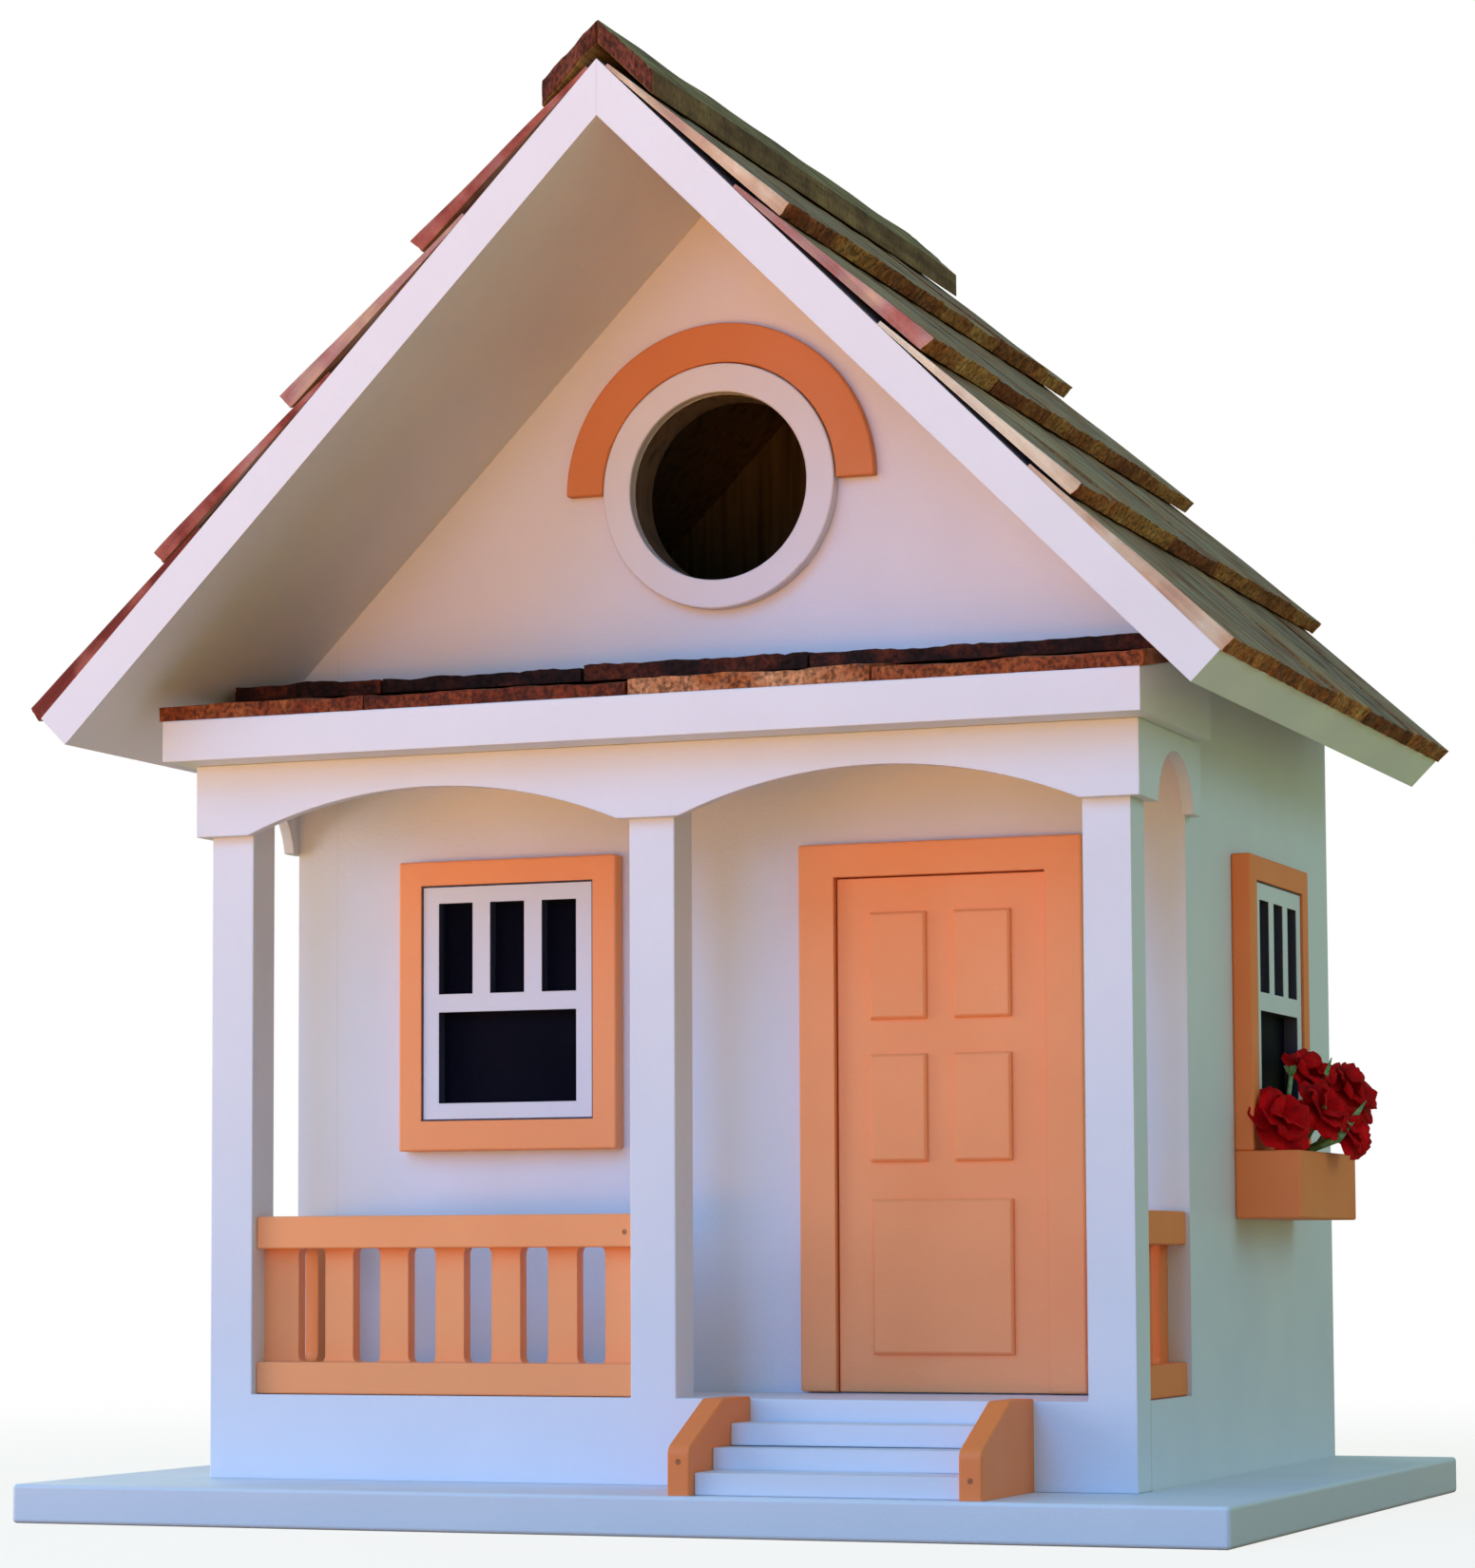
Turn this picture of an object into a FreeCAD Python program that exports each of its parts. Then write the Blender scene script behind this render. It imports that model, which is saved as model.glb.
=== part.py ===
"""A wooden birdhouse made like a small cottage, with a porch, steps and a shingled roof.

Millimetres. +X is the house's right as seen from the front, +Y runs to the back, +Z is up.
The origin is the bottom centre of the base board. Every board is a separate solid.
"""

import FreeCAD, Part
import math
import os

Vector = FreeCAD.Vector

# Base board and the main body of the house
base_width = 241.5
base_depth = 190.0
base_thick = 7.5
half_house = 95.2
wall_thick = 9.0
front_face = -24.7
side_rear = 91.5
back_inset = 3.0
inner_half = half_house - wall_thick

# Porch
panel_front = -62.5
panel_thick = 9.2
panel_rear = panel_front + panel_thick
deck_top = 24.05
corner_post = 9.3
centre_post_half = 4.7
bay_top = 146.2
porch_board_bottom = 149.1
porch_board_front = -73.8
porch_board_half = 100.5
porch_board_edge = 8.2
porch_pitch = math.radians(9.5)

# Main roof: two boards at 45 degrees with square lower ends
ridge_height = 276.5
slope_length = 168.8
roof_thick = 7.7
roof_front = -88.7
roof_rear = 92.9
soffit_apex = ridge_height - roof_thick * math.sqrt(2)

# Shingles: tapered, laid in courses from the eaves up
shingle_tops = (119.0, 78.8, 38.8, 2.4)
shingle_butts = (169.8, 129.5, 89.5, 50.0)
shingle_seams = ((34, 80, 108, 149), (22, 63, 96, 131, 160), (40, 74, 117, 146), (27, 58, 90, 129, 163))
shingle_butt_thick = (3.6, 3.3, 3.8, 3.4, 3.7)
shingle_top_thick = 1.1
shingle_gap = 0.35

# Entry
entry_height = 205.4
entry_radius = 19.05
ring_radius = 24.9
hood_radius = 33.2

# Windows and door: trim stands proud of the wall
casing_depth = 4.0
window_width = 48.3
window_height = 59.3
front_window = (-46.05, 72.5)
side_window = (33.6, 71.4)

# Screws and nails
screw_radius = 1.6
screw_head = 3.2


def box(x0, x1, y0, y1, z0, z1):
    return Part.makeBox(x1 - x0, y1 - y0, z1 - z0, Vector(x0, y0, z0))


def prism_xz(points, y0, y1):
    """A straight-sided outline in X and Z, extruded from y0 to y1."""
    corners = [Vector(x, y0, z) for x, z in points]
    face = Part.Face(Part.makePolygon(corners + corners[:1]))
    return face.extrude(Vector(0, y1 - y0, 0))


def prism_yz(points, x0, x1):
    """A straight-sided outline in Y and Z, extruded from x0 to x1."""
    corners = [Vector(x0, y, z) for y, z in points]
    face = Part.Face(Part.makePolygon(corners + corners[:1]))
    return face.extrude(Vector(x1 - x0, 0, 0))


def rod(radius, start, end):
    """A cylinder between two points."""
    run = end - start
    return Part.makeCylinder(radius, run.Length, start, run)


def eased(shape, radius=0.5):
    """The shape with every edge lightly rounded, as sanding leaves it."""
    return shape.makeFillet(radius, shape.Edges)


def flipped(shape):
    """The same piece on the other side of the house."""
    return shape.mirror(Vector(0, 0, 0), Vector(1, 0, 0))


def save(name, *solids):
    shape = solids[0] if len(solids) == 1 else Part.makeCompound(list(solids))
    for solid in shape.Solids:
        if not solid.isValid():
            raise ValueError(name + " has an invalid solid")
    shape.exportStep("parts/" + name + ".step")


def save_pair(name, *solids):
    """Writes the right-hand piece and its mirror image on the left."""
    save("right_" + name, *solids)
    save("left_" + name, *[flipped(s) for s in solids])


def slope_point(s, n):
    """X and Z of a point s down the right-hand slope and n above its surface."""
    return ((s + n) * math.sqrt(0.5), ridge_height - (s - n) * math.sqrt(0.5))


def below_soffit(shape, gap=0.2):
    """The shape trimmed where it would run into the underside of the main roof."""
    apex = soffit_apex - gap
    reach = 150.0
    gable = [(-reach, 0), (reach, 0), (reach, apex - reach), (0, apex), (-reach, apex - reach)]
    room = prism_xz(gable, -100, 100)
    return shape.common(room)


# Fasteners are made first, because the boards are drilled to fit them.


def base_screw(x, y):
    """A countersunk screw that comes up through the base into a wall."""
    head = Part.makeCone(3.4, screw_radius, 3.0, Vector(x, y, 0.4))
    return head.fuse(rod(screw_radius, Vector(x, y, 3.4), Vector(x, y, 27.0))).removeSplitter()


def roof_nail(side, s, y):
    """A flat-headed nail, square to the roof, into the top edge of a gable wall."""
    head_x, head_z = slope_point(s, 0)
    neck_x, neck_z = slope_point(s, -0.8)
    tip_x, tip_z = slope_point(s, -24.0)
    head = rod(2.0, Vector(side * head_x, y, head_z), Vector(side * neck_x, y, neck_z))
    shank = rod(0.8, Vector(side * neck_x, y, neck_z), Vector(side * tip_x, y, tip_z))
    return head.fuse(shank).removeSplitter()


wall_centre = half_house - wall_thick / 2
front_wall_centre = front_face + wall_thick / 2
back_face = side_rear - back_inset
back_wall_centre = back_face - wall_thick / 2

screw_places = [(side * wall_centre, y) for side in (-1, 1) for y in (-5.0, 68.0)]
screw_places += [(0.0, front_wall_centre), (0.0, back_wall_centre)]
base_screws = [base_screw(x, y) for x, y in screw_places]
gable_lines = (front_wall_centre, back_wall_centre)
roof_nails = [roof_nail(side, s, y) for side in (-1, 1) for s in (48.0, 104.0) for y in gable_lines]


def base_board():
    board = box(-base_width / 2, base_width / 2, -base_depth / 2, base_depth / 2, 0, base_thick)
    board = eased(board, 0.8)
    for screw in base_screws:
        board = board.cut(screw)
        x = screw.BoundBox.Center.x
        y = screw.BoundBox.Center.y
        board = board.cut(Part.makeCylinder(3.4, 0.4, Vector(x, y, 0)))
    return board


def gable_wall(y0):
    """A front or back wall: one board from the base to the ridge, between the side walls."""
    eave = soffit_apex - inner_half
    outline = [(-inner_half, base_thick), (inner_half, base_thick), (inner_half, eave), (0, soffit_apex)]
    outline.append((-inner_half, eave))
    wall = prism_xz(outline, y0, y0 + wall_thick)
    for fastener in base_screws + roof_nails:
        wall = wall.cut(fastener)
    return wall


def side_wall():
    """A side wall, cut away above a low apron where the porch is open."""
    outer_top = soffit_apex - half_house
    inner_top = soffit_apex - inner_half
    section = [
        (inner_half, base_thick),
        (half_house, base_thick),
        (half_house, outer_top),
        (inner_half, inner_top),
    ]
    wall = prism_xz(section, panel_rear, side_rear)
    wall = wall.cut(box(0, 100, panel_rear - 1, front_face, deck_top, 200))
    for screw in base_screws:
        wall = wall.cut(screw)
    return wall


def roof_panel():
    """The right-hand roof board, mitred at the ridge and square at the eave."""
    section = [slope_point(0, 0), slope_point(slope_length, 0), slope_point(slope_length, -roof_thick)]
    section.append((0, soffit_apex))
    panel = prism_xz(section, roof_front, roof_rear)
    for nail in roof_nails:
        panel = panel.cut(nail)
    return panel


def shingle_course(number):
    """One course of the right-hand slope; each shingle's butt rests on the course below it."""
    lift = 0.0
    for below in range(number):
        rise = lift + max(shingle_butt_thick) - shingle_top_thick
        run = shingle_butts[below] - shingle_tops[below]
        lift = shingle_top_thick + rise * (shingle_butts[below + 1] - shingle_tops[below]) / run
    top = shingle_tops[number]
    butt = shingle_butts[number]
    sides = [roof_front] + [roof_front + seam for seam in shingle_seams[number]] + [roof_rear + shingle_gap]
    shingles = []
    for i in range(len(sides) - 1):
        thick = shingle_butt_thick[(i + number) % len(shingle_butt_thick)]
        section = [slope_point(top, 0), slope_point(top, shingle_top_thick)]
        section += [slope_point(butt, lift + thick), slope_point(butt, lift)]
        shingles.append(prism_xz(section, sides[i], sides[i + 1] - shingle_gap))
    return shingles


def ridge_cap():
    """The right-hand board of the ridge cap, plumb-cut below and mitred to its twin at the top."""
    rest = 2.3
    thick = 4.0
    half_width = 11.4
    under = ridge_height + rest * math.sqrt(2)
    over = under + thick * math.sqrt(2)
    section = [
        (0, under),
        (half_width, under - half_width),
        (half_width, over - half_width),
        (1.2, over - 1.2),
    ]
    section.append((0, over - 0.9))
    return prism_xz(section, roof_front - 0.5, roof_rear)


def porch_front_panel():
    """Corner posts, centre post and apron in one board with two bays sawn out of it."""
    panel = box(-half_house, half_house, panel_front, panel_rear, base_thick, porch_board_bottom)
    for side in (-1, 1):
        edges = sorted((side * centre_post_half, side * (half_house - corner_post)))
        panel = panel.cut(box(edges[0], edges[1], panel_front - 1, panel_rear + 1, deck_top, bay_top))
    return panel


def porch_top(y):
    """Height of the porch roof board's sloping top."""
    return porch_board_bottom + porch_board_edge + (y - porch_board_front) * math.tan(porch_pitch)


def porch_roof_board():
    outline = [(porch_board_front, porch_board_bottom), (front_face, porch_board_bottom)]
    outline += [(front_face, porch_top(front_face)), (porch_board_front, porch_top(porch_board_front))]
    return below_soffit(prism_yz(outline, -porch_board_half, porch_board_half))


def porch_shingles(butt_y, butt_lift, tail_lift, splits):
    """A course of tapered shingles on the porch roof, split across X at the given places."""
    shingles = []
    for i in range(len(splits) - 1):
        thick = shingle_butt_thick[i % len(shingle_butt_thick)]
        outline = [(butt_y, porch_top(butt_y) + butt_lift), (front_face, porch_top(front_face) + tail_lift)]
        outline.append((front_face, porch_top(front_face) + tail_lift + shingle_top_thick))
        outline.append((butt_y, porch_top(butt_y) + butt_lift + thick))
        strip = prism_yz(outline, splits[i], splits[i + 1] - shingle_gap)
        shingles.append(below_soffit(strip))
    return shingles


fascia_thick = 2.4
fascia_bottom = 134.8


def arch_cutter(chord, rise, centre, along):
    """A cylinder whose top is an arch of the given chord and rise above the fascia's lower edge."""
    radius = (chord * chord / 4 + rise * rise) / (2 * rise)
    z = fascia_bottom + rise - radius
    if along == "y":
        return Part.makeCylinder(radius, 20, Vector(centre, panel_front - 10, z), Vector(0, 1, 0))
    return Part.makeCylinder(radius, 20, Vector(half_house - 5, centre, z), Vector(1, 0, 0))


def front_arch_fascia():
    half = half_house + fascia_thick
    board = box(-half, half, panel_front - fascia_thick, panel_front, fascia_bottom, porch_board_bottom)
    for side in (-1, 1):
        board = board.cut(arch_cutter(79.6, 8.0, side * 46.2, "y"))
    return board


def side_arch_fascia():
    board = box(half_house, half_house + fascia_thick, panel_front, -21.5, fascia_bottom, porch_board_bottom)
    return board.cut(arch_cutter(25.0, 10.7, -39.5, "x"))


def entry_ring():
    y = front_face
    ring = Part.makeCylinder(ring_radius, 2.9, Vector(0, y - 2.9, entry_height), Vector(0, 1, 0))
    ring = ring.cut(Part.makeCylinder(entry_radius, 2.9, Vector(0, y - 2.9, entry_height), Vector(0, 1, 0)))
    return eased(ring, 0.4)


def entry_hood():
    """The half ring over the entry, its two ends level with the centre of the hole."""
    y = front_face
    front = Vector(0, y - 2.5, entry_height)
    hood = Part.makeCylinder(hood_radius, 2.5, front, Vector(0, 1, 0))
    hood = hood.cut(Part.makeCylinder(ring_radius + 0.25, 2.5, front, Vector(0, 1, 0)))
    hood = hood.cut(box(-40, 40, y - 5, y + 5, entry_height - 40, entry_height))
    return eased(hood, 0.4)


def window():
    """Casing, sash and dark pane, centred on X, standing on z = 0, with the wall at y = 0."""
    half = window_width / 2
    sash_half = 19.0
    sash_bottom = 6.2
    sash_top = 54.2
    hole = box(-sash_half - 0.1, sash_half + 0.1, -10, 10, sash_bottom - 0.1, sash_top + 0.1)
    casing = eased(box(-half, half, -casing_depth, 0, 0, window_height), 0.5).cut(hole)
    pane = box(-sash_half, sash_half, -0.6, 0, sash_bottom, sash_top)
    sash = box(-sash_half, sash_half, -3.5, -0.6, sash_bottom, sash_top)
    sash = sash.cut(box(-15.3, 15.3, -10, 0, 9.7, 28.3))
    for centre in (-11.5, 0.0, 11.5):
        sash = sash.cut(box(centre - 3.8, centre + 3.8, -10, 0, 32.0, 50.6))
    return [casing, sash, pane]


def save_windows():
    names = ("window_casing", "window_sash", "window_pane")
    for name, shape in zip(names, window()):
        front = shape.translated(Vector(front_window[0], front_face, front_window[1]))
        save("front_" + name, front)
        side = shape.rotated(Vector(0, 0, 0), Vector(0, 0, 1), 90)
        save_pair(name, side.translated(Vector(half_house, side_window[0], side_window[1])))


# Window boxes and their flowers. Each blossom is (x, y, z, radius), with its stem's place in the box.
box_depth = 13.2
box_height = 13.5
blossoms = (
    (104.5, 14.0, 78.6, 5.0, 17.0),
    (104.8, 41.0, 88.5, 5.2, 39.5),
    (111.5, 48.5, 85.3, 5.2, 46.0),
    (113.5, 37.0, 76.2, 4.4, 34.5),
    (109.5, 30.0, 80.8, 4.8, 28.0),
)
stem_foot_x = half_house + box_depth / 2
stem_foot_z = side_window[1] - 8.0


def flower_heads():
    return [Part.makeSphere(r, Vector(x, y, z)) for x, y, z, r, foot in blossoms]


def flower_stems():
    stems = []
    for (x, y, z, r, foot), head in zip(blossoms, flower_heads()):
        stem = rod(0.8, Vector(stem_foot_x, foot, stem_foot_z), Vector(stem_foot_x, foot, side_window[1]))
        rise = rod(0.8, Vector(stem_foot_x, foot, side_window[1] - 0.6), Vector(x, y, z))
        stem = stem.fuse(rise).removeSplitter()
        for other in flower_heads():
            stem = stem.cut(other)
        stems.append(max(stem.Solids, key=lambda piece: piece.Volume))
    return stems


def window_box():
    half = window_width / 2
    y = side_window[0]
    top = side_window[1]
    block = eased(box(half_house, half_house + box_depth, y - half, y + half, top - box_height, top), 0.5)
    for stem in flower_stems():
        block = block.cut(stem)
    return block


# Door
door_left = 17.3
door_right = 75.6
slab_left = 25.0
slab_right = 68.0
door_foot = deck_top + 0.3
slab_top = 125.0


def door_casing():
    """Two legs and a head around the door, in one U-shaped piece."""
    outer = box(door_left, door_right, front_face - casing_depth, front_face, door_foot, 131.9)
    outer = eased(outer, 0.5)
    opening = box(slab_left - 0.3, slab_right + 0.1, front_face - 10, front_face + 1, 0, slab_top + 0.3)
    return outer.cut(opening)


def door_slab():
    return box(slab_left, slab_right, front_face - 2.6, front_face, door_foot, slab_top)


def door_panels():
    """Four small raised panels and one wide one, glued to the slab."""
    places = [(x, x + 11.7, z, z + 21.0) for z in (69.2, 97.1) for x in (31.9, 49.2)]
    places.append((32.2, 61.0, 31.7, 61.8))
    y = front_face - 2.6
    panels = []
    for x0, x1, z0, z1 in places:
        panel = box(x0, x1, y - 1.1, y, z0, z1)
        panels.append(panel.makeChamfer(0.5, [e for e in panel.Edges if e.BoundBox.YMax < y - 0.5]))
    return panels


# Railings: a slotted baluster board with a top and a bottom rail planted on its outer face
rail_heights = ((24.15, 30.4), (52.7, 59.1))
rail_thick = 3.7
board_thick = 3.0
slot_width = 5.9
slot_pitch = 12.05


def railing(x0, x1, outer, slots):
    """A railing across X whose rails face -Y; outer is the Y of their front faces."""
    rails = [eased(box(x0, x1, outer, outer + rail_thick, z0, z1), 0.4) for z0, z1 in rail_heights]
    face = outer + rail_thick
    board = box(x0, x1, face, face + board_thick, rail_heights[0][0], rail_heights[1][1])
    centre = (x0 + x1) / 2
    for i in range(slots):
        x = centre + (i - (slots - 1) / 2) * slot_pitch
        slot = box(x - slot_width / 2, x + slot_width / 2, face - 1, face + 10, 29.9, 53.2)
        upright = [e for e in slot.Edges if e.BoundBox.YLength > 5]
        board = board.cut(slot.makeFillet(1.8, upright))
    return rails, board


def save_railings():
    bay_end = half_house - corner_post
    rails, board = railing(-bay_end, -centre_post_half, panel_front + 1.8, 6)
    save("front_bottom_rail", rails[0])
    save("front_top_rail", rails[1].cut(brads[0]))
    save("front_baluster_board", board.cut(brads[0]))
    rails, board = railing(panel_rear, front_face, 0.8 - half_house, 2)
    turned = [s.rotated(Vector(0, 0, 0), Vector(0, 0, 1), 90) for s in rails + [board]]
    save_pair("side_rails", turned[0], turned[1])
    save_pair("side_baluster_board", turned[2])


# Steps: three boards stacked like stairs between two shaped stringers
stair_left = 15.4
stair_right = 75.5
stringer_thick = 4.4
stringer_front = -93.4
step_fronts = (-91.1, -82.0, -72.8)
step_rise = (deck_top - base_thick) / 4


def stringer(x):
    z0 = base_thick
    top = deck_top + 0.5
    outline = [
        (stringer_front, z0),
        (stringer_front, 16.2),
        (-76.0, top),
        (panel_front, top),
        (panel_front, z0),
    ]
    board = prism_yz(outline, x, x + stringer_thick)
    crosswise = [e for e in board.Edges if e.BoundBox.XLength > 4]
    bends = [e for e in crosswise if e.BoundBox.YMin < -75 and e.BoundBox.ZMin > 10]
    board = board.makeFillet(2.5, bends)
    free = [e for e in board.Edges if e.BoundBox.YMax < panel_front - 0.1]
    rim = [e for e in free if e.BoundBox.ZMin > base_thick + 0.1]
    return board.makeFillet(0.4, [e for e in rim if e.BoundBox.XLength < 0.1])


def stair_treads():
    treads = []
    for i, y in enumerate(step_fronts):
        z = base_thick + i * step_rise
        left = stair_left + stringer_thick
        right = stair_right - stringer_thick
        treads.append(box(left, right, y, panel_front, z, z + step_rise))
    return treads


def trim_brads():
    """Fine brads whose heads still show: one in the top rail, one in each stringer's front."""
    rail = rod(0.5, Vector(-6.6, panel_front + 1.8, 55.6), Vector(-6.6, panel_front + 6.8, 55.6))
    left_x = stair_left + 2.2
    left = rod(0.5, Vector(left_x, stringer_front, 13.6), Vector(left_x, stringer_front + 8, 13.6))
    right_x = stair_right - 2.2
    right = rod(0.5, Vector(right_x, stringer_front, 11), Vector(right_x, stringer_front + 8, 11))
    return [rail, left, right]


brads = trim_brads()

# Clean-out at the back: a cover that swings aside on one screw and hooks over another
pivot_height = 78.0
keeper = (30.0, 45.0)
cover_thick = 3.2
cover_gap = 0.3
cover_inner = back_face + cover_gap
cover_outer = cover_inner + cover_thick
screw_clearance = 0.05
keeper_clearance = 0.35


def cover_screw(x, z):
    """A round-headed screw through the cover's plane into the back wall."""
    seat = cover_outer + cover_gap
    head = Part.makeCylinder(screw_head, 1.9, Vector(x, seat, z), Vector(0, 1, 0))
    outer_rim = [e for e in head.Edges if e.BoundBox.YMin > seat + 1]
    head = head.makeFillet(1.2, outer_rim)
    return head.fuse(rod(screw_radius, Vector(x, back_face - 7.0, z), Vector(x, seat, z))).removeSplitter()


def cleanout_screws():
    return [cover_screw(0, pivot_height), cover_screw(keeper[0], keeper[1])]


def back_wall():
    wall = gable_wall(back_face - wall_thick)
    hatch = box(-26, 26, back_face - 20, back_face + 5, 26, 66)
    corners = [e for e in hatch.Edges if e.BoundBox.YLength > 5]
    wall = wall.cut(hatch.makeFillet(3.0, corners))
    for screw in cleanout_screws():
        wall = wall.cut(screw)
    return wall


def cleanout_cover():
    """A rounded plate hung on its pivot, with an arc-shaped notch that slips over the keeper screw."""
    plate = box(-34, 34, cover_inner, cover_outer, 20, 86)
    plate = plate.makeFillet(4.0, [e for e in plate.Edges if e.BoundBox.YLength > 3])
    plate = eased(plate, 0.5)
    along = Vector(0, 1, 0)
    pivot = Vector(0, back_face, pivot_height)
    plate = plate.cut(Part.makeCylinder(screw_radius + screw_clearance, 10, pivot, along))
    across = keeper[0]
    down = pivot_height - keeper[1]
    reach = math.hypot(across, down)
    room = screw_radius + keeper_clearance
    notch = Part.makeCylinder(reach + room, 10, pivot, along)
    notch = notch.cut(Part.makeCylinder(reach - room, 10, pivot, along))
    far = 60.0
    keeper_angle = math.atan2(-down, across)
    open_angle = keeper_angle + math.radians(25)
    wedge = [(0, pivot_height)]
    for angle in (keeper_angle, open_angle):
        wedge.append((far * math.cos(angle), pivot_height + far * math.sin(angle)))
    notch = notch.common(prism_xz(wedge, back_face, back_face + 10))
    notch = notch.fuse(Part.makeCylinder(room, 10, Vector(keeper[0], back_face, keeper[1]), along))
    return plate.cut(notch)


def front_wall():
    wall = gable_wall(front_face)
    start = Vector(0, front_face - 1, entry_height)
    return wall.cut(Part.makeCylinder(entry_radius, wall_thick + 2, start, Vector(0, 1, 0)))


os.makedirs("parts", exist_ok=True)

save("base_board", base_board())
save("base_screws", *base_screws)
save("front_wall", front_wall())
save("back_wall", back_wall())
save_pair("side_wall", side_wall())
save_pair("roof_panel", roof_panel())
save("roof_nails", *roof_nails)
for course in range(len(shingle_butts)):
    save_pair("shingle_course_" + str(course + 1), *shingle_course(course))
save_pair("ridge_cap", ridge_cap())

save("porch_deck", box(-inner_half, inner_half, panel_rear, front_face, base_thick, deck_top))
save("porch_front_panel", porch_front_panel())
save("porch_roof_board", porch_roof_board())
save("porch_shingles_front", *porch_shingles(porch_board_front, 0, 0, (-101.5, -56, -0.5, 48.7, 101.5)))
save("porch_shingles_rear", *porch_shingles(-49.6, 2.75, shingle_top_thick, (-97.4, -64, -20, 27.5, 97.4)))
save("front_arch_fascia", front_arch_fascia())
save_pair("arch_fascia", side_arch_fascia())

save("entry_ring", entry_ring())
save("entry_hood", entry_hood())
save_windows()
save_pair("window_box", window_box())
save_pair("blossoms", *flower_heads())
save_pair("flower_stems", *flower_stems())
save("door_casing", door_casing())
save("door_slab", door_slab())
save("door_panels", *door_panels())

save_railings()
save("stair_treads", *stair_treads())
save("left_stringer", stringer(stair_left).cut(brads[1]))
save("right_stringer", stringer(stair_right - stringer_thick).cut(brads[2]))
save("trim_brads", *brads)

save("cleanout_cover", cleanout_cover())
save("cleanout_screws", *cleanout_screws())
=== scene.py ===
"""Finishes, shingles, flowers and studio for the cottage birdhouse. Metres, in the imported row's frame."""

import math
import random

import bmesh
import bpy
from mathutils import Matrix, Vector, noise


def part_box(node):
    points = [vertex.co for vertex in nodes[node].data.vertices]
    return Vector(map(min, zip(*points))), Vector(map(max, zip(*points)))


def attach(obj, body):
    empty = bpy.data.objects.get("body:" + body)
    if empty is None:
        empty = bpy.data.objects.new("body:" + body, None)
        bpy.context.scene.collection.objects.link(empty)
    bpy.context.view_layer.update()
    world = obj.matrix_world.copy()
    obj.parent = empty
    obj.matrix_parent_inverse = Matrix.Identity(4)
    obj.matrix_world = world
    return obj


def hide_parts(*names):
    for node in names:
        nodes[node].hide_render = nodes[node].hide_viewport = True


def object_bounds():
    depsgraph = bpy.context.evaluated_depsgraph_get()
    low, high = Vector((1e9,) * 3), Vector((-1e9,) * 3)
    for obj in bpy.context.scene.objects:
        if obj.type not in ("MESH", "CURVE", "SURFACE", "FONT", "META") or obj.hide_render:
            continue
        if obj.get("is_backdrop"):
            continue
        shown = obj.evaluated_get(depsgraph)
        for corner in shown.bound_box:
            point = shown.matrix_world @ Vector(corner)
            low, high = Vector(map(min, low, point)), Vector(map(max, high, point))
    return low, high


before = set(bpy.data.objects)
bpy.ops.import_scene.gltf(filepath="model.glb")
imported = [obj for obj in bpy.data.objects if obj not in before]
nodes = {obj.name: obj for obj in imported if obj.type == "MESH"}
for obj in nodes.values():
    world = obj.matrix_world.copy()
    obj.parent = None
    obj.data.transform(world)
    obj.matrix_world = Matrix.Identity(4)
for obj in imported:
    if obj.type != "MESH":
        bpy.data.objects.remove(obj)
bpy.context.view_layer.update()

mm = 0.001


# ---- Base board -------------------------------------------------------------------------------
# One sanded pine board, 7.5 mm thick, that carries the house. It is rolled with two coats of white
# acrylic house paint, and six screws come up through it into the walls.


def linear(hex_colour):
    """An sRGB hex colour as linear RGBA."""
    channels = [int(hex_colour[i : i + 2], 16) / 255 for i in (1, 3, 5)]
    return tuple(c / 12.92 if c <= 0.04045 else ((c + 0.055) / 1.055) ** 2.4 for c in channels) + (1.0,)


def add(tree, kind, settings=None, links=None):
    """Adds one node. Settings name its properties or unlinked sockets, links its sockets' sources."""
    node = tree.nodes.new(kind)
    for key, value in (settings or {}).items():
        if key == "stops":
            ramp = node.color_ramp
            while len(ramp.elements) < len(value):
                ramp.elements.new(0.5)
            for element, (place, colour) in zip(ramp.elements, value):
                element.position = place
                element.color = linear(colour)
        elif isinstance(key, str) and key.islower() and hasattr(node, key):
            setattr(node, key, value)
        else:
            node.inputs[key].default_value = value
    for key, (source, output) in (links or {}).items():
        tree.links.new(source.outputs[output], node.inputs[key])
    return node


def new_finish(name):
    """An empty node material with its output."""
    material = bpy.data.materials.new(name)
    material.use_nodes = True
    material.node_tree.nodes.clear()
    output = add(material.node_tree, "ShaderNodeOutputMaterial")
    return material, material.node_tree, output


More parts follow.
